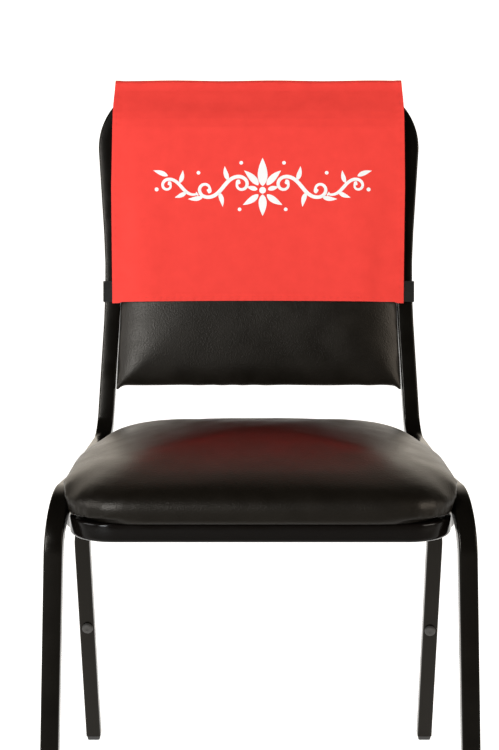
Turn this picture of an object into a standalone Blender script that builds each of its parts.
"""A chair back cover on a stacking chair.

The cover is one rectangle of woven cloth folded over the top of the chair's back. Elastic straps
at its lower corners pass round the uprights and join the front panel to the rear panel. The chair
is built of square tube, with a seat pan, a padded seat and a padded back.

Metres, +Z up. The chair faces -Y, and the origin is on the floor under the middle of its box.
"""

import math

import bmesh
import bpy
from mathutils import Matrix, Vector

# Depths below are measured back from the front legs' faces, and at() centres them on the box.
SEAT_FRONT = -0.022
REAR_FOOT_BACK = 0.5054
MIDDLE = (SEAT_FRONT + REAR_FOOT_BACK) / 2

GAP = 0.0003
WELD_GAP = 0.0008
TUBE = 0.019
HALF_TUBE = TUBE / 2
TUBE_CORNER = 0.0022
ARC_STEP = math.radians(10)

# Front legs and side rails: half widths are to the tube's outer side.
FOOT_HALF_WIDTH = 0.2338
LEG_SPLAY = 0.0377
RAIL_TOP = 0.457
RAIL_FALL = 0.04
KNEE_RADIUS = 0.0521
RAIL_BEND = {"depth": 0.110, "half_width": 0.2058, "radius": 0.15}
LEG_TOP_DEPTH = 0.078
RAIL_END_DEPTH = 0.318

# The back leans. Its own plane lies on the uprights' front faces, with s up it and n out of it.
BACK_LEAN = math.atan(0.16)
BACK_DEPTH = 0.380
BACK_HEIGHT = 0.490
HEEL_HALF_WIDTH = 0.1982
HEEL_RADIUS = 0.036
WAIST = {"height": 0.6295, "half_width": 0.1853, "radius": 0.87}
SHOULDER_SLOPE = 0.063
SHOULDER_RADIUS = 0.0685
TOP_RAIL_HEIGHT = 0.8522
UPRIGHT_END_HEIGHT = 0.762
TOP_RAIL_HALF_LENGTH = 0.112

# Rear legs.
REAR_LEG_HALF_WIDTH = 0.2303
REAR_FOOT_HALF_WIDTHS = {"left": 0.2286, "right": 0.2316}
REAR_FOOT_DEPTH = 0.486
REAR_LEG_RAKE = 0.304
REAR_LEG_BEND_HEIGHT = 0.306
REAR_LEG_BEND_RADIUS = 0.09
REAR_LEG_WELD_ANGLE = math.radians(22)

GLIDE_HEIGHT = 0.006
GLIDE_TOP = 0.0182
GLIDE_BOTTOM = 0.0156
BUMPERS = {"left": (-0.2190, 0.1750), "right": (0.2206, 0.1712)}
BUMPER_RADIUS = 0.0068
BUMPER_HEIGHT = 0.0046
# A bumper's section, as shares of its radius and its height.
BUMPER_SECTION = ((0, 0), (1, 0), (1, 0.45), (0.88, 0.78), (0.6, 0.95), (0, 1))
BUMPER_STEPS = 20

# Seat: heights are at the front legs' faces, and all of it falls a little to the rear.
SEAT_FALL = 0.02
PAN_BOTTOM = 0.4114
PAN_TOP = 0.4310
PAN_MIDDLE_DEPTH = 0.172
PAN_EDGE = 0.0016
CROWN_DEPTH = 0.1458
CROWN_TOP = 0.5010
# The height of the cushion's widest line: lower in front and behind than over the rails.
FREE_EQUATOR = 0.4481
RAIL_EQUATOR = 0.4627
CROWN_ROUNDNESS = 1.90
CROWN_FULLNESS = 0.704
DROP_FADE = 7
CROWN_RINGS = (0.996, 0.985, 0.965, 0.93, 0.88, 0.80, 0.70, 0.57, 0.40, 0.20)
# The roll along the cushion's front edge: how much it adds, how far in, and where it fades out.
FRONT_ROLL = 0.006
ROLL_PEAK = 0.012
ROLL_REACH = 0.075
SEAT_SIDES = 80
BEARERS = {"front": (0.140, 0.1985), "rear": (0.290, 0.1955)}
BEARER_WIDTH = 0.025
BEARER_THICKNESS = 0.004
BEARER_CORNER = 0.0006
BEARER_BEND = 0.006

# Plan corners as half width, depth and corner radius, from the front to the rear.
PAN_PLAN = (
    (0.1945, -0.0105, 0.048),
    (0.1953, 0.042, 0.02),
    (0.2026, 0.058, 0.02),
    (0.1935, 0.120, 0.12),
    (0.1868, 0.362, 0.05),
)
SEAT_LOW_PLAN = (
    (0.1965, -0.0190, 0.070),
    (0.1858, 0.105, 0.15),
    (0.1800, 0.225, 0.20),
    (0.1460, 0.357, 0.09),
)
SEAT_HIGH_PLAN = ((0.2052, SEAT_FRONT, 0.065), (0.2012, 0.1754, 0.388), (0.1627, 0.3647, 0.093))
SEAT_CORNER_HEIGHT = 0.4405
CUSHION_CLEARANCE = 0.0016
FREE_HALF_WIDTH = 0.140
# The cushion's free side: shares of the way up to its widest line, and of the way out.
FREE_SIDE = ((0.455, 0.70), (0.71, 0.92), (0.87, 0.985))
# Over the tube the side steps out to a ledge, and at the bottom it is tucked in.
CORNER_HELD = 0.92
LEDGE_RISE = 0.0011
LEDGE_OUT = 0.972
TUCK = 0.0035
TUCK_IN = 0.04

# Back pad, between the uprights.
PAD_BOTTOM_HEIGHT = 0.500
PAD_TOP_HEIGHT = 0.832
PAD_REAR = -0.0165
PAD_EDGE = 0.003
PAD_CROWN = 0.0135
PAD_EAR = 0.008
PAD_EAR_RADIUS = 0.003
PAD_EAR_TIP = 0.001
PAD_STEP = 0.016
PAD_CLEARANCE = 0.0004
PAD_CORNER = 0.062
PAD_BACK_RINGS = ((0.975, 0.0), (0.995, 0.003), (1.0, 0.008))
PAD_FRONT_RINGS = (1.0, 0.985, 0.955, 0.91, 0.84, 0.72, 0.55, 0.32)
PAD_ROUNDNESS = 4
PAD_FULLNESS = 0.6

# The cover.
CLOTH = 0.0015
HEM_CLOTH = 0.0024
SIDE_HEM = 0.006
END_HEM = 0.008
CLOTH_CLEARANCE = 0.0022
FOLD_RADIUS = 0.005
FRONT_HEM_HEIGHT = 0.6035
REAR_HEM_HEIGHT = 0.6010
COVER_COLUMNS = 24
FRONT_STEPS = 22
FOLD_STEPS = 4
REAR_STEPS = 15
HEM_SLOPE = 0.0012
HEM_SAG = 0.0014
FOLD_SETBACK = 0.0006
FOLD_RIPPLE = 0.0004
ROLL_START = 0.108
ROLL_LIMIT = 1.2
FOLD_FADE = 0.02
FOLD_END = 1.6
# Half widths of the cover: height, left and right.
COVER_SIDES = (
    (0.867, 0.1738, 0.1732),
    (0.851, 0.1751, 0.1746),
    (0.836, 0.1762, 0.1755),
    (0.737, 0.1783, 0.1767),
    (0.603, 0.1774, 0.1755),
)
# Front panel: distance up the back's plane, how far its middle and its sides stand out of it.
FRONT_PANEL = (
    (0.3690, 0.0036, 0.0034),
    (0.3620, 0.0062, 0.0058),
    (0.3520, 0.0102, 0.0094),
    (0.3420, 0.0146, 0.0122),
    (0.3330, 0.0178, 0.0136),
    (0.3220, 0.0200, 0.0142),
    (0.2900, 0.0210, 0.0142),
    (0.2300, 0.0210, 0.0126),
    (0.1700, 0.0208, 0.0100),
    (0.1400, 0.0206, 0.0088),
    (0.1100, 0.0206, 0.0086),
)
# Rear panel: the same, behind the tubes.
REAR_PANEL = (
    (0.3690, -0.0222, -0.0222),
    (0.3400, -0.0224, -0.0224),
    (0.2800, -0.0240, -0.0228),
    (0.2000, -0.0285, -0.0226),
    (0.1400, -0.0325, -0.0226),
    (0.1080, -0.0345, -0.0226),
)
# Soft folds: one end, the other end (x and height), half width and how far each stands out.
FRONT_FOLDS = (
    (0.106, 0.862, 0.076, 0.839, 0.0085, 0.0014),
    (-0.095, 0.846, -0.030, 0.842, 0.0140, -0.0009),
    (0.158, 0.690, 0.146, 0.612, 0.0150, -0.0022),
    (0.118, 0.706, 0.132, 0.606, 0.0160, 0.0012),
    (-0.104, 0.676, -0.110, 0.640, 0.0150, -0.0010),
    (-0.138, 0.700, -0.140, 0.604, 0.0180, 0.0014),
    (0.128, 0.786, 0.152, 0.742, 0.0160, -0.0009),
)
REAR_FOLDS = (
    (-0.070, 0.840, -0.052, 0.600, 0.0200, -0.0030),
    (0.020, 0.790, 0.034, 0.600, 0.0180, 0.0022),
    (0.098, 0.850, 0.082, 0.600, 0.0220, -0.0026),
    (-0.140, 0.760, -0.120, 0.604, 0.0140, 0.0014),
)

# Elastic straps.
STRAP_WIDTH = 0.0254
STRAP = 0.0015
STRAP_CLEARANCE = 0.0004
STRAP_INNER_END = 0.1655
STRAP_EDGE = 0.1760
STRAP_BEND = 0.0028
STRAP_EASE = 0.006
STRAP_ABOVE_HEM = 0.0006
STRAP_BESIDE = 0.0020
STRAP_CORNER = 0.0004


def at(x, depth, height):
    """A point given by its depth back from the front legs' faces."""
    return Vector((x, depth - MIDDLE, height))


UP_BACK = Vector((0, math.sin(BACK_LEAN), math.cos(BACK_LEAN)))
OUT_OF_BACK = Vector((0, -math.cos(BACK_LEAN), math.sin(BACK_LEAN)))


def on_back(x, s, n):
    """A point in the back's own plane: s up the back, n forward of the uprights' faces."""
    return at(x, BACK_DEPTH, BACK_HEIGHT) + UP_BACK * s + OUT_OF_BACK * n


def up_back_at(height, n):
    """The distance up the back's plane of a height, at n in front of it."""
    return (height - BACK_HEIGHT - n * OUT_OF_BACK.z) / UP_BACK.z


def clear_scene():
    for obj in list(bpy.data.objects):
        bpy.data.objects.remove(obj, do_unlink=True)


def make_material(name, colour, roughness, metallic=0.0):
    material = bpy.data.materials.new(name)
    material.use_nodes = True
    shader = material.node_tree.nodes["Principled BSDF"]
    shader.inputs["Base Color"].default_value = (*colour, 1.0)
    shader.inputs["Roughness"].default_value = roughness
    shader.inputs["Metallic"].default_value = metallic
    return material


def make_solid(name, points, faces, material):
    """An object from the points of a closed body and the faces that join them."""
    body = bmesh.new()
    verts = [body.verts.new(point) for point in points]
    for face in faces:
        body.faces.new([verts[index] for index in face])
    return finish_solid(name, body, material)


def finish_solid(name, body, material):
    """The object of a closed body, with its faces pointing out and its round sides smooth."""
    bmesh.ops.recalc_face_normals(body, faces=body.faces)
    mesh = bpy.data.meshes.new(name)
    body.to_mesh(mesh)
    body.free()
    mesh.materials.append(material)
    mesh.shade_smooth()
    mesh.set_sharp_from_angle(angle=math.radians(32))
    obj = bpy.data.objects.new(name, mesh)
    bpy.context.scene.collection.objects.link(obj)
    return obj


def bend_at(before, corner, after, radius):
    """The arc that rounds a corner: its centre, its first spoke, the way it turns and how far."""
    way_in = (corner - before).normalized()
    way_out = (after - corner).normalized()
    turn = way_in.angle(way_out)
    centre = corner + (way_out - way_in).normalized() * (radius / math.cos(turn / 2))
    spoke = corner - way_in * radius * math.tan(turn / 2) - centre
    return centre, spoke, way_in * radius, turn


def bent_path(corners):
    """The points along straight runs joined by arcs: each corner is a point and its radius."""
    path = [corners[0][0]]
    for (before, _), (corner, radius), (after, _) in zip(corners, corners[1:], corners[2:]):
        centre, spoke, ahead, turn = bend_at(before, corner, after, radius)
        steps = max(2, math.ceil(turn / ARC_STEP))
        for step in range(steps + 1):
            angle = turn * step / steps
            path.append(centre + spoke * math.cos(angle) + ahead * math.sin(angle))
    path.append(corners[-1][0])
    return path


def rounded_rectangle(width, height, radius, steps=2):
    """The outline of a bar's section, as pairs across and along it."""
    outline = []
    for corner in range(4):
        middle = math.pi / 4 + corner * math.pi / 2
        across = math.copysign(width / 2 - radius, math.cos(middle))
        along = math.copysign(height / 2 - radius, math.sin(middle))
        for step in range(steps + 1):
            angle = middle - math.pi / 4 + step * math.pi / 2 / steps
            outline.append((across + radius * math.cos(angle), along + radius * math.sin(angle)))
    return outline


def make_bar(name, corners, section, guide, material, first_cut=None, last_cut=None):
    """A bar of one section along a bent path.

    The section's second direction stays as near to guide as the path allows. A cut is a point
    and a direction: the plane across that direction which trims an end.
    """
    path = bent_path(corners)
    points = []
    for index, point in enumerate(path):
        before = path[max(index - 1, 0)]
        after = path[min(index + 1, len(path) - 1)]
        if 0 < index < len(path) - 1:
            tangent = ((point - before).normalized() + (after - point).normalized()).normalized()
        else:
            tangent = (after - before).normalized()
        along = (guide - tangent * guide.dot(tangent)).normalized()
        across = along.cross(tangent)
        cut = {0: first_cut, len(path) - 1: last_cut}.get(index)
        for wide, long in section:
            corner = point + across * wide + along * long
            if cut:
                corner += tangent * ((cut[0] - corner).dot(cut[1]) / tangent.dot(cut[1]))
            points.append(corner)
    size = len(section)
    faces = [tuple(range(size)), tuple(range(len(points) - size, len(points)))]
    for ring in range(len(path) - 1):
        for side in range(size):
            a = ring * size + side
            b = ring * size + (side + 1) % size
            faces.append((a, b, b + size, a + size))
    return make_solid(name, points, faces, material)


def shortened(corners, start=GAP / 2, end=GAP / 2):
    """The same path with a little taken off its ends, where it meets its neighbours."""
    (first, _), (second, _) = corners[0], corners[1]
    (last, _), (before, _) = corners[-1], corners[-2]
    trimmed = list(corners)
    trimmed[0] = (first + (second - first).normalized() * start, 0)
    trimmed[-1] = (last + (before - last).normalized() * end, 0)
    return trimmed


def along(first, second, share):
    return first + (second - first) * share


def foot_cut():
    """The level cut just above the glides."""
    return at(0, 0, GLIDE_HEIGHT + GAP), Vector((0, 0, 1))


def rail_height(depth):
    """The middle of the side rails, which fall towards the rear."""
    return RAIL_TOP - HALF_TUBE - RAIL_FALL * depth


def upright_half_width(height):
    """The upright's outer half width on the straight runs below and above the waist."""
    below = (HEEL_HALF_WIDTH - WAIST["half_width"]) / (WAIST["height"] - rail_height(BACK_DEPTH))
    slope = -below if height < WAIST["height"] else SHOULDER_SLOPE
    return WAIST["half_width"] + slope * (height - WAIST["height"])


def knee_half_width():
    return FOOT_HALF_WIDTH - LEG_SPLAY * rail_height(HALF_TUBE)


def frame_points(side):
    """The bent tube's corners and joints on one side, all on its middle line."""
    knee_height = rail_height(HALF_TUBE)
    knee_x = knee_half_width() - HALF_TUBE
    foot = at(side * (FOOT_HALF_WIDTH - HALF_TUBE), HALF_TUBE, 0)
    knee = at(side * knee_x, HALF_TUBE, knee_height)
    bend_depth = RAIL_BEND["depth"]
    bend_x = RAIL_BEND["half_width"] - HALF_TUBE
    bend = at(side * bend_x, bend_depth, rail_height(bend_depth))
    heel_s = up_back_at(rail_height(BACK_DEPTH), -HALF_TUBE)
    heel = on_back(side * (HEEL_HALF_WIDTH - HALF_TUBE), heel_s, -HALF_TUBE)
    waist_s = up_back_at(WAIST["height"], -HALF_TUBE)
    waist = on_back(side * (WAIST["half_width"] - HALF_TUBE), waist_s, -HALF_TUBE)
    top_s = up_back_at(TOP_RAIL_HEIGHT, -HALF_TUBE)
    shoulder_x = upright_half_width(TOP_RAIL_HEIGHT) - HALF_TUBE
    shoulder = on_back(side * shoulder_x, top_s, -HALF_TUBE)
    top_end = on_back(side * TOP_RAIL_HALF_LENGTH, top_s, -HALF_TUBE)
    leg_share = (LEG_TOP_DEPTH - HALF_TUBE) / (bend_depth - HALF_TUBE)
    rail_share = (RAIL_END_DEPTH - bend_depth) / (heel.y + MIDDLE - bend_depth)
    upright_share = (UPRIGHT_END_HEIGHT - WAIST["height"]) / (TOP_RAIL_HEIGHT - WAIST["height"])
    return {
        "foot": foot,
        "knee": knee,
        "leg_end": along(knee, bend, leg_share),
        "bend": bend,
        "rail_end": along(bend, heel, rail_share),
        "heel": heel,
        "waist": waist,
        "upright_end": along(waist, shoulder, upright_share),
        "shoulder": shoulder,
        "top_end": top_end,
    }


def make_frame(paint):
    """The one bent tube, cut into nine lengths that meet end to end."""
    section = rounded_rectangle(TUBE, TUBE, TUBE_CORNER)
    sideways = Vector((1, 0, 0))
    for label, side in (("left", -1), ("right", 1)):
        spot = frame_points(side)
        leg = [(spot["foot"], 0), (spot["knee"], KNEE_RADIUS), (spot["leg_end"], 0)]
        leg = shortened(leg, start=0)
        make_bar(f"front_leg_{label}", leg, section, sideways, paint, foot_cut())
        rail = [(spot["leg_end"], 0), (spot["bend"], RAIL_BEND["radius"]), (spot["rail_end"], 0)]
        make_bar(f"side_rail_{label}", shortened(rail), section, sideways, paint)
        upright = [
            (spot["rail_end"], 0),
            (spot["heel"], HEEL_RADIUS),
            (spot["waist"], WAIST["radius"]),
            (spot["upright_end"], 0),
        ]
        make_bar(f"upright_{label}", shortened(upright), section, sideways, paint)
        shoulder = [
            (spot["upright_end"], 0),
            (spot["shoulder"], SHOULDER_RADIUS),
            (spot["top_end"], 0),
        ]
        make_bar(f"shoulder_{label}", shortened(shoulder), section, OUT_OF_BACK, paint)
    top = [(frame_points(-1)["top_end"], 0), (frame_points(1)["top_end"], 0)]
    make_bar("top_rail", shortened(top), section, OUT_OF_BACK, paint)


def rear_leg_middle(x, height):
    """A point on the middle line of the raked leg."""
    half = HALF_TUBE / math.cos(math.atan(REAR_LEG_RAKE))
    return at(x, REAR_FOOT_DEPTH - REAR_LEG_RAKE * height + half, height)


def make_rear_legs(paint):
    """Raked legs that lean in to meet the undersides of the rails' rear bends."""
    section = rounded_rectangle(TUBE, TUBE, TUBE_CORNER)
    leg_x = REAR_LEG_HALF_WIDTH - HALF_TUBE
    for label, side in (("left", -1), ("right", 1)):
        foot_x = REAR_FOOT_HALF_WIDTHS[label] - HALF_TUBE
        spot = frame_points(side)
        centre, spoke, ahead, _ = bend_at(spot["bend"], spot["heel"], spot["waist"], HEEL_RADIUS)
        outward = spoke * math.cos(REAR_LEG_WELD_ANGLE) + ahead * math.sin(REAR_LEG_WELD_ANGLE)
        outward.normalize()
        weld = centre + outward * (HEEL_RADIUS + HALF_TUBE + WELD_GAP)
        corners = [
            (rear_leg_middle(side * foot_x, 0), 0),
            (rear_leg_middle(side * leg_x, REAR_LEG_BEND_HEIGHT), REAR_LEG_BEND_RADIUS),
            (rear_leg_middle(weld.x, weld.z), 0),
        ]
        name = f"rear_leg_{label}"
        sideways = Vector((1, 0, 0))
        make_bar(name, corners, section, sideways, paint, foot_cut(), (weld, outward))


def make_glides(plastic):
    """Tapered plugs under the four legs, flat on the floor."""
    raked = 1 / math.cos(math.atan(REAR_LEG_RAKE))
    stands = {
        "front": ({"left": FOOT_HALF_WIDTH, "right": FOOT_HALF_WIDTH}, HALF_TUBE, 1),
        "rear": (REAR_FOOT_HALF_WIDTHS, REAR_FOOT_DEPTH + HALF_TUBE * raked, raked),
    }
    corner_to_flat = math.sqrt(2) / 2
    for place, (half_widths, depth, stretch) in stands.items():
        for label, side in (("left", -1), ("right", 1)):
            x = half_widths[label] - HALF_TUBE
            body = bmesh.new()
            bmesh.ops.create_cone(
                body,
                cap_ends=True,
                segments=4,
                radius1=GLIDE_BOTTOM * corner_to_flat,
                radius2=GLIDE_TOP * corner_to_flat,
                depth=GLIDE_HEIGHT,
            )
            bmesh.ops.rotate(body, verts=body.verts, matrix=Matrix.Rotation(math.pi / 4, 3, "Z"))
            bmesh.ops.scale(body, verts=body.verts, vec=(1, stretch, 1))
            upright_edges = [e for e in body.edges if abs(e.verts[0].co.z - e.verts[1].co.z) > 0.001]
            bmesh.ops.bevel(
                body,
                geom=upright_edges,
                offset=TUBE_CORNER,
                segments=3,
                profile=0.5,
                affect="EDGES",
            )
            middle = at(side * x, depth, GLIDE_HEIGHT / 2)
            bmesh.ops.translate(body, verts=body.verts, vec=middle)
            finish_solid(f"glide_{place}_{label}", body, plastic)


def make_bumpers(rubber):
    """Round buttons on the rear legs' front faces, which keep stacked chairs apart."""
    rake = math.atan(REAR_LEG_RAKE)
    out = Vector((0, -math.cos(rake), -math.sin(rake)))
    upright = out.to_track_quat("Z", "Y").to_matrix().to_4x4()
    for label, (x, middle) in BUMPERS.items():
        body = bmesh.new()
        line = [
            body.verts.new((BUMPER_RADIUS * share, 0, BUMPER_HEIGHT * rise))
            for share, rise in BUMPER_SECTION
        ]
        edges = [body.edges.new(pair) for pair in zip(line, line[1:])]
        bmesh.ops.spin(
            body,
            geom=line + edges,
            axis=(0, 0, 1),
            cent=(0, 0, 0),
            steps=BUMPER_STEPS,
            angle=2 * math.pi,
            use_merge=True,
        )
        bmesh.ops.remove_doubles(body, verts=body.verts, dist=1e-6)
        seat = at(x, REAR_FOOT_DEPTH - REAR_LEG_RAKE * middle, middle) + out * GAP
        bmesh.ops.transform(body, verts=body.verts, matrix=Matrix.Translation(seat) @ upright)
        finish_solid(f"bumper_{label}", body, rubber)


def rounded_plan(plan):
    """A plan's rounded outline, from the middle of its first side all the way round."""
    half = [(Vector((x, depth, 0)), radius) for x, depth, radius in plan]
    other = [(Vector((-point.x, point.y, 0)), radius) for point, radius in reversed(half)]
    front = Vector((0, plan[0][1], 0))
    return bent_path([(front, 0), *half, *other, (front, 0)])


def subdivided(path, longest):
    """A closed path's points, with its long runs cut into equal steps."""
    points = []
    for start, end in zip(path, path[1:]):
        steps = max(1, math.ceil((end - start).length / longest))
        points += [along(start, end, step / steps) for step in range(steps)]
    return points


def evenly_spaced(path, count):
    """The same number of points on any closed path, so that two outlines can be joined."""
    spans = [(b - a).length for a, b in zip(path, path[1:])]
    total = sum(spans)
    outline = []
    index = 0
    passed = 0.0
    for step in range(count):
        wanted = total * step / count
        while passed + spans[index] < wanted:
            passed += spans[index]
            index += 1
        outline.append(along(path[index], path[index + 1], (wanted - passed) / spans[index]))
    return outline


def make_ringed(name, rings, tip, material):
    """A closed body from a stack of rings of equal count, flat below and with a tip on top."""
    count = len(rings[0])
    points = [point for ring in rings for point in ring]
    points.append(tip)
    faces = [tuple(range(count))]
    for ring in range(len(rings) - 1):
        for side in range(count):
            a = ring * count + side
            b = ring * count + (side + 1) % count
            faces.append((a, b, b + count, a + count))
    last = (len(rings) - 1) * count
    for side in range(count):
        faces.append((last + side, last + (side + 1) % count, len(points) - 1))
    return make_solid(name, points, faces, material)


def seat_point(point, height):
    """A plan point raised to a height that falls a little to the rear."""
    return at(point.x, point.y, height - SEAT_FALL * point.y)


def make_seat_pan(paint):
    """The shallow pressed pan under the seat, whose rim shows as a band below the cushion."""
    outline = evenly_spaced(rounded_plan(PAN_PLAN), SEAT_SIDES)
    middle = Vector((0, PAN_MIDDLE_DEPTH, 0))
    levels = (
        (PAN_BOTTOM, PAN_EDGE),
        (PAN_BOTTOM + PAN_EDGE, 0),
        (PAN_TOP - PAN_EDGE, 0),
        (PAN_TOP, PAN_EDGE),
    )
    rings = []
    for height, pulled_in in levels:
        rings.append([
            seat_point(p + (middle - p).normalized() * pulled_in, height) for p in outline
        ])
    tip = seat_point(middle, PAN_TOP)
    make_ringed("seat_pan", rings, tip, paint)


def smooth(share):
    share = min(max(share, 0.0), 1.0)
    return share * share * (3 - 2 * share)


def knee_drop(depth):
    """How far the knee's top has curved down below the rail's."""
    radius = KNEE_RADIUS + HALF_TUBE
    before = min(max(radius - depth, 0), radius)
    return radius - math.sqrt(radius**2 - before**2)


def rail_top(depth):
    """The top of the side rails, and of the knees that curve down in front of them."""
    return RAIL_TOP - RAIL_FALL * depth - knee_drop(depth)


def room_between_rails(depth):
    """The half width between the knees, and between the rails as they draw in behind them."""
    drawn_in = (knee_half_width() - RAIL_BEND["half_width"]) / (RAIL_BEND["depth"] - HALF_TUBE)
    return knee_half_width() - TUBE - drawn_in * max(depth - HALF_TUBE, 0)


def cushion_side(inner, outer):
    """The cushion's side at one place, from its underside up to its widest line, and its drop.

    Each step is a height and a share of the way out. In front the side is a plain bulge. At the
    corners and beside the rails it stays inside the tube until it has passed the tube's top. The
    drop is how far the widest line has followed the knee down.
    """
    bottom = PAN_TOP + GAP
    depth = max(inner.y, outer.y)
    inside = room_between_rails(depth) - CUSHION_CLEARANCE
    cornered = smooth((abs(outer.x) - FREE_HALF_WIDTH) / (inside - FREE_HALF_WIDTH))
    over_rail = RAIL_EQUATOR - FREE_EQUATOR
    drop = min(knee_drop(depth), over_rail) * cornered
    equator = FREE_EQUATOR + over_rail * cornered - drop
    room = (inside - abs(inner.x)) / max(abs(outer.x) - abs(inner.x), 0.001)
    held = min(max(room, 0.0), CORNER_HELD) if outer.y < KNEE_RADIUS else 0.0
    ledge = max(SEAT_CORNER_HEIGHT, rail_top(depth) + SEAT_FALL * depth + CUSHION_CLEARANCE)
    held_side = (((bottom + ledge) / 2, held), (ledge, held), (ledge + LEDGE_RISE, LEDGE_OUT))
    side = [(bottom, -TUCK_IN), (bottom + TUCK, 0.0)]
    for (risen, free_share), (height, share) in zip(FREE_SIDE, held_side):
        free_height = bottom + (FREE_EQUATOR - bottom) * risen
        side.append((
            free_height + (height - free_height) * cornered,
            free_share + (share - free_share) * cornered,
        ))
    side.append((equator, 1.0))
    return side, drop


def make_seat_cushion(vinyl):
    """A crowned pad that drops between the rails and swells over them."""
    low = evenly_spaced(rounded_plan(SEAT_LOW_PLAN), SEAT_SIDES)
    high = evenly_spaced(rounded_plan(SEAT_HIGH_PLAN), SEAT_SIDES)
    middle = Vector((0, CROWN_DEPTH, 0))
    columns = []
    for inner, outer in zip(low, high):
        side, drop = cushion_side(inner, outer)
        column = [seat_point(along(inner, outer, share), height) for height, share in side]
        equator = side[-1][0] + drop
        roll = FRONT_ROLL * smooth(1 - (outer.y - SEAT_FRONT) / ROLL_REACH)
        for share in CROWN_RINGS:
            risen = (1 - share**CROWN_ROUNDNESS) ** CROWN_FULLNESS
            inward = (1 - share) * (outer - middle).length / ROLL_PEAK
            height = equator + (CROWN_TOP - equator) * risen - drop * share**DROP_FADE
            height += roll * math.sqrt(inward) * math.exp((1 - inward) / 2)
            column.append(seat_point(along(middle, outer, share), height))
        columns.append(column)
    rings = list(zip(*columns))
    tip = seat_point(middle, CROWN_TOP)
    make_ringed("seat_cushion", rings, tip, vinyl)


def make_bearers(paint):
    """Flat bars bent up at their ends, which carry the pan from under the rails."""
    section = rounded_rectangle(BEARER_THICKNESS, BEARER_WIDTH, BEARER_CORNER, steps=1)
    for label, (depth, x) in BEARERS.items():
        low = PAN_BOTTOM - SEAT_FALL * depth - 2 * GAP - BEARER_THICKNESS / 2
        top = rail_height(depth) - HALF_TUBE - WELD_GAP
        corners = [
            (at(-x, depth, top), 0),
            (at(-x, depth, low), BEARER_BEND),
            (at(x, depth, low), BEARER_BEND),
            (at(x, depth, top), 0),
        ]
        make_bar(f"seat_bearer_{label}", corners, section, Vector((0, 1, 0)), paint)


def make_back_pad(vinyl):
    """A padded back, waisted to fit between the uprights, with its face crowned forward."""
    inset = TUBE + PAD_CLEARANCE
    bottom = up_back_at(PAD_BOTTOM_HEIGHT, 0)
    waist = up_back_at(WAIST["height"], 0)
    top = up_back_at(PAD_TOP_HEIGHT, 0)
    corner = upright_half_width(PAD_BOTTOM_HEIGHT) - inset
    plan = (
        (corner - PAD_EAR, bottom, PAD_EAR_RADIUS),
        (corner, bottom - PAD_EAR, PAD_EAR_TIP),
        (WAIST["half_width"] - inset, waist, WAIST["radius"]),
        (upright_half_width(PAD_TOP_HEIGHT) - inset - GAP, top, PAD_CORNER),
    )
    outline = subdivided(rounded_plan(plan), PAD_STEP)
    middle = Vector((0, (bottom + top) / 2, 0))
    rings = []
    for share, forward in PAD_BACK_RINGS:
        n = PAD_REAR + forward
        rings.append([on_back(q.x, q.y, n) for q in (along(middle, p, share) for p in outline)])
    for share in PAD_FRONT_RINGS:
        n = PAD_EDGE + PAD_CROWN * (1 - share**PAD_ROUNDNESS) ** PAD_FULLNESS
        rings.append([on_back(q.x, q.y, n) for q in (along(middle, p, share) for p in outline)])
    tip = on_back(0, middle.y, PAD_EDGE + PAD_CROWN)
    make_ringed("back_pad", rings, tip, vinyl)


def read_table(table, value):
    """The columns of a table whose first column falls, read at a value between its rows."""
    for upper, lower in zip(table, table[1:]):
        if value >= lower[0]:
            share = (upper[0] - value) / (upper[0] - lower[0])
            share = min(max(share, 0.0), 1.0)
            return [a + (b - a) * share for a, b in zip(upper[1:], lower[1:])]
    return list(table[-1][1:])


def fold_height(folds, x, height):
    """How far the soft folds raise the cloth at a point, each fading out past its ends."""
    raised = 0.0
    for x0, z0, x1, z1, width, rise in folds:
        length = math.hypot(x1 - x0, z1 - z0)
        ux, uz = (x1 - x0) / length, (z1 - z0) / length
        passed = (x - x0) * ux + (height - z0) * uz
        aside = (x - x0) * -uz + (height - z0) * ux
        beyond = max(-passed, passed - length, 0.0)
        raised += rise * math.exp(-((aside / width) ** 2) - (beyond / (FOLD_END * width)) ** 2)
    return raised


def side_roll(x, half_width):
    """From 0 in the middle of the panel to 1 at its side edge."""
    return min(max((abs(x) - ROLL_START) / (half_width - ROLL_START), 0.0), ROLL_LIMIT) ** 2


def cover_half_widths(height):
    return read_table(COVER_SIDES, height)


def panel_offset(table, folds, x, s):
    """How far the panel's middle surface stands out of the back's plane."""
    height = BACK_HEIGHT + s * UP_BACK.z
    left, right = cover_half_widths(height)
    middle, side = read_table(table, s)
    roll = side_roll(x, left if x < 0 else right)
    fade = smooth((table[0][0] - s) / FOLD_FADE)
    return middle + (side - middle) * roll + fold_height(folds, x, height) * fade


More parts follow.
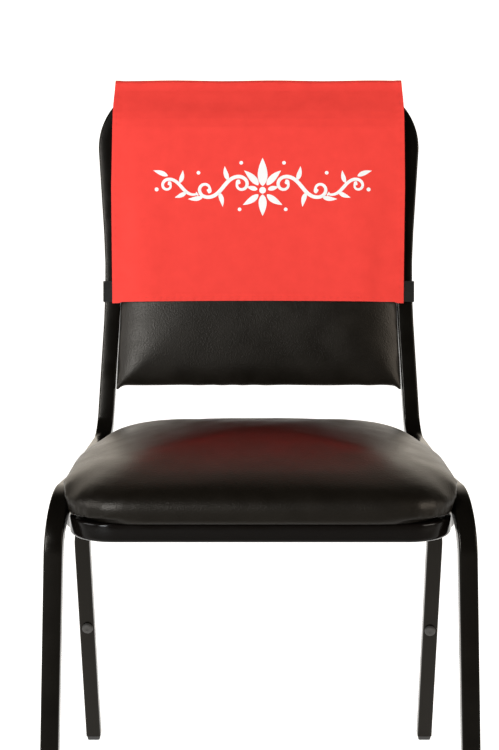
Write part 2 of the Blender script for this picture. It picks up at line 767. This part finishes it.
def cover_rows():
    """The rows of the cloth from the front hem over the top to the rear hem.

    Each row is a kind, a distance up the back and, on the fold, an offset of its own.
    """
    front_end = up_back_at(FRONT_HEM_HEIGHT, FRONT_PANEL[-1][1])
    rear_end = up_back_at(REAR_HEM_HEIGHT, REAR_PANEL[-1][1])
    fold_start = FRONT_PANEL[0][0]
    first = front_end + END_HEM + HEM_SLOPE
    rows = [("front", front_end, 0), ("front", front_end + END_HEM, 0), ("front", first, 0)]
    for step in range(1, FRONT_STEPS + 1):
        rows.append(("front", first + (fold_start - first) * step / FRONT_STEPS, 0))
    top = up_back_at(TOP_RAIL_HEIGHT, -HALF_TUBE) + HALF_TUBE + CLOTH_CLEARANCE + CLOTH / 2
    front_n = FRONT_PANEL[0][1] - FOLD_SETBACK
    rear_n = REAR_PANEL[0][1]
    radius = FOLD_RADIUS
    for n_middle, start in ((front_n - radius, 0), (rear_n + radius, math.pi / 2)):
        for step in range(FOLD_STEPS + 1):
            angle = start + math.pi / 2 * step / FOLD_STEPS
            s = top - radius + radius * math.sin(angle)
            rows.append(("fold", s, n_middle + radius * math.cos(angle)))
    last = rear_end + END_HEM + HEM_SLOPE
    for step in range(REAR_STEPS + 1):
        rows.append(("rear", fold_start + (last - fold_start) * step / REAR_STEPS, 0))
    rows.append(("rear", rear_end + END_HEM, 0))
    rows.append(("rear", rear_end, 0))
    return rows


def hem_sag(x, half_width):
    """The lower edge is a little higher in its middle than at its corners."""
    return HEM_SAG * (1 - min(abs(x) / half_width, 1.0) ** 2)


def cover_column_shares():
    """Places across the cloth, from -1 at the left edge to 1 at the right, with the hems' edges."""
    hem = SIDE_HEM / COVER_SIDES[0][1]
    inner = [1 - hem, 1 - hem - 0.006]
    even = [inner[1] * (2 * k / (COVER_COLUMNS - 1) - 1) for k in range(COVER_COLUMNS)]
    return [-1.0, -inner[0], *even, inner[0], 1.0]


def make_cover(cloth):
    """The cloth as one closed sheet, thicker in its hems."""
    rows = cover_rows()
    shares = cover_column_shares()
    middle = []
    for kind, s, fold_n in rows:
        height = BACK_HEIGHT + s * UP_BACK.z
        left, right = cover_half_widths(height)
        line = []
        for share in shares:
            half_width = left if share < 0 else right
            x = share * half_width
            up = s + hem_sag(x, half_width) * (1 - smooth((s - 0.11) / 0.1))
            if kind == "front":
                n = panel_offset(FRONT_PANEL, FRONT_FOLDS, x, s)
            elif kind == "rear":
                n = panel_offset(REAR_PANEL, REAR_FOLDS, x, s)
            else:
                n = fold_n
                up = s + FOLD_RIPPLE * (1 + math.sin(9 * share + 0.6))
            line.append(on_back(x, up, n))
        middle.append(line)
    body = bmesh.new()
    grid = [[body.verts.new(point) for point in line] for line in middle]
    for upper, lower in zip(grid, grid[1:]):
        for a, b, c, d in zip(upper, upper[1:], lower[1:], lower):
            body.faces.new((a, b, c, d))
    body.verts.index_update()
    hem = [vert.index for line in grid[:2] + grid[-2:] for vert in line]
    hem += [vert.index for line in grid for vert in line[:2] + line[-2:]]
    cover = finish_solid("cover", body, cloth)
    cover.vertex_groups.new(name="hem").add(hem, 1.0, "REPLACE")
    solidify = cover.modifiers.new("thickness", "SOLIDIFY")
    solidify.thickness = HEM_CLOTH
    solidify.offset = 0
    solidify.vertex_group = "hem"
    solidify.thickness_vertex_group = CLOTH / HEM_CLOTH


def make_straps(elastic):
    """Elastic webbing from behind the front panel's corner, round the upright, to the rear panel."""
    section = rounded_rectangle(STRAP, STRAP_WIDTH, STRAP_CORNER, steps=1)
    low = up_back_at(FRONT_HEM_HEIGHT, FRONT_PANEL[-1][1]) + STRAP_ABOVE_HEM
    s = low + STRAP_WIDTH / 2
    outside = upright_half_width(BACK_HEIGHT + s * UP_BACK.z) + STRAP_BESIDE + STRAP / 2
    behind = -TUBE - STRAP_CLEARANCE - STRAP / 2

    def under_front(side, x):
        panel = panel_offset(FRONT_PANEL, FRONT_FOLDS, side * x, s)
        return on_back(side * x, s, panel - HEM_CLOTH / 2 - GAP - STRAP_CLEARANCE - STRAP / 2)

    for label, side in (("left", -1), ("right", 1)):
        corners = [
            (under_front(side, STRAP_INNER_END), 0),
            (under_front(side, STRAP_EDGE), STRAP_EASE),
            (on_back(side * outside, s, STRAP_CLEARANCE), STRAP_BEND),
            (on_back(side * outside, s, behind), STRAP_BEND),
            (on_back(side * STRAP_INNER_END, s, behind), 0),
        ]
        make_bar(f"strap_{label}", corners, section, UP_BACK, elastic)


def main():
    clear_scene()
    paint = make_material("black_frame_paint", (0.012, 0.011, 0.010), 0.22)
    vinyl = make_material("black_vinyl", (0.016, 0.014, 0.012), 0.38)
    cloth = make_material("red_cloth", (0.78, 0.045, 0.03), 0.75)
    elastic = make_material("black_elastic", (0.010, 0.010, 0.010), 0.85)
    plastic = make_material("black_plastic", (0.014, 0.013, 0.012), 0.5)
    rubber = make_material("grey_rubber", (0.030, 0.028, 0.026), 0.7)
    make_frame(paint)
    make_rear_legs(paint)
    make_glides(plastic)
    make_bumpers(rubber)
    make_bearers(paint)
    make_seat_pan(paint)
    make_seat_cushion(vinyl)
    make_back_pad(vinyl)
    make_cover(cloth)
    make_straps(elastic)


main()
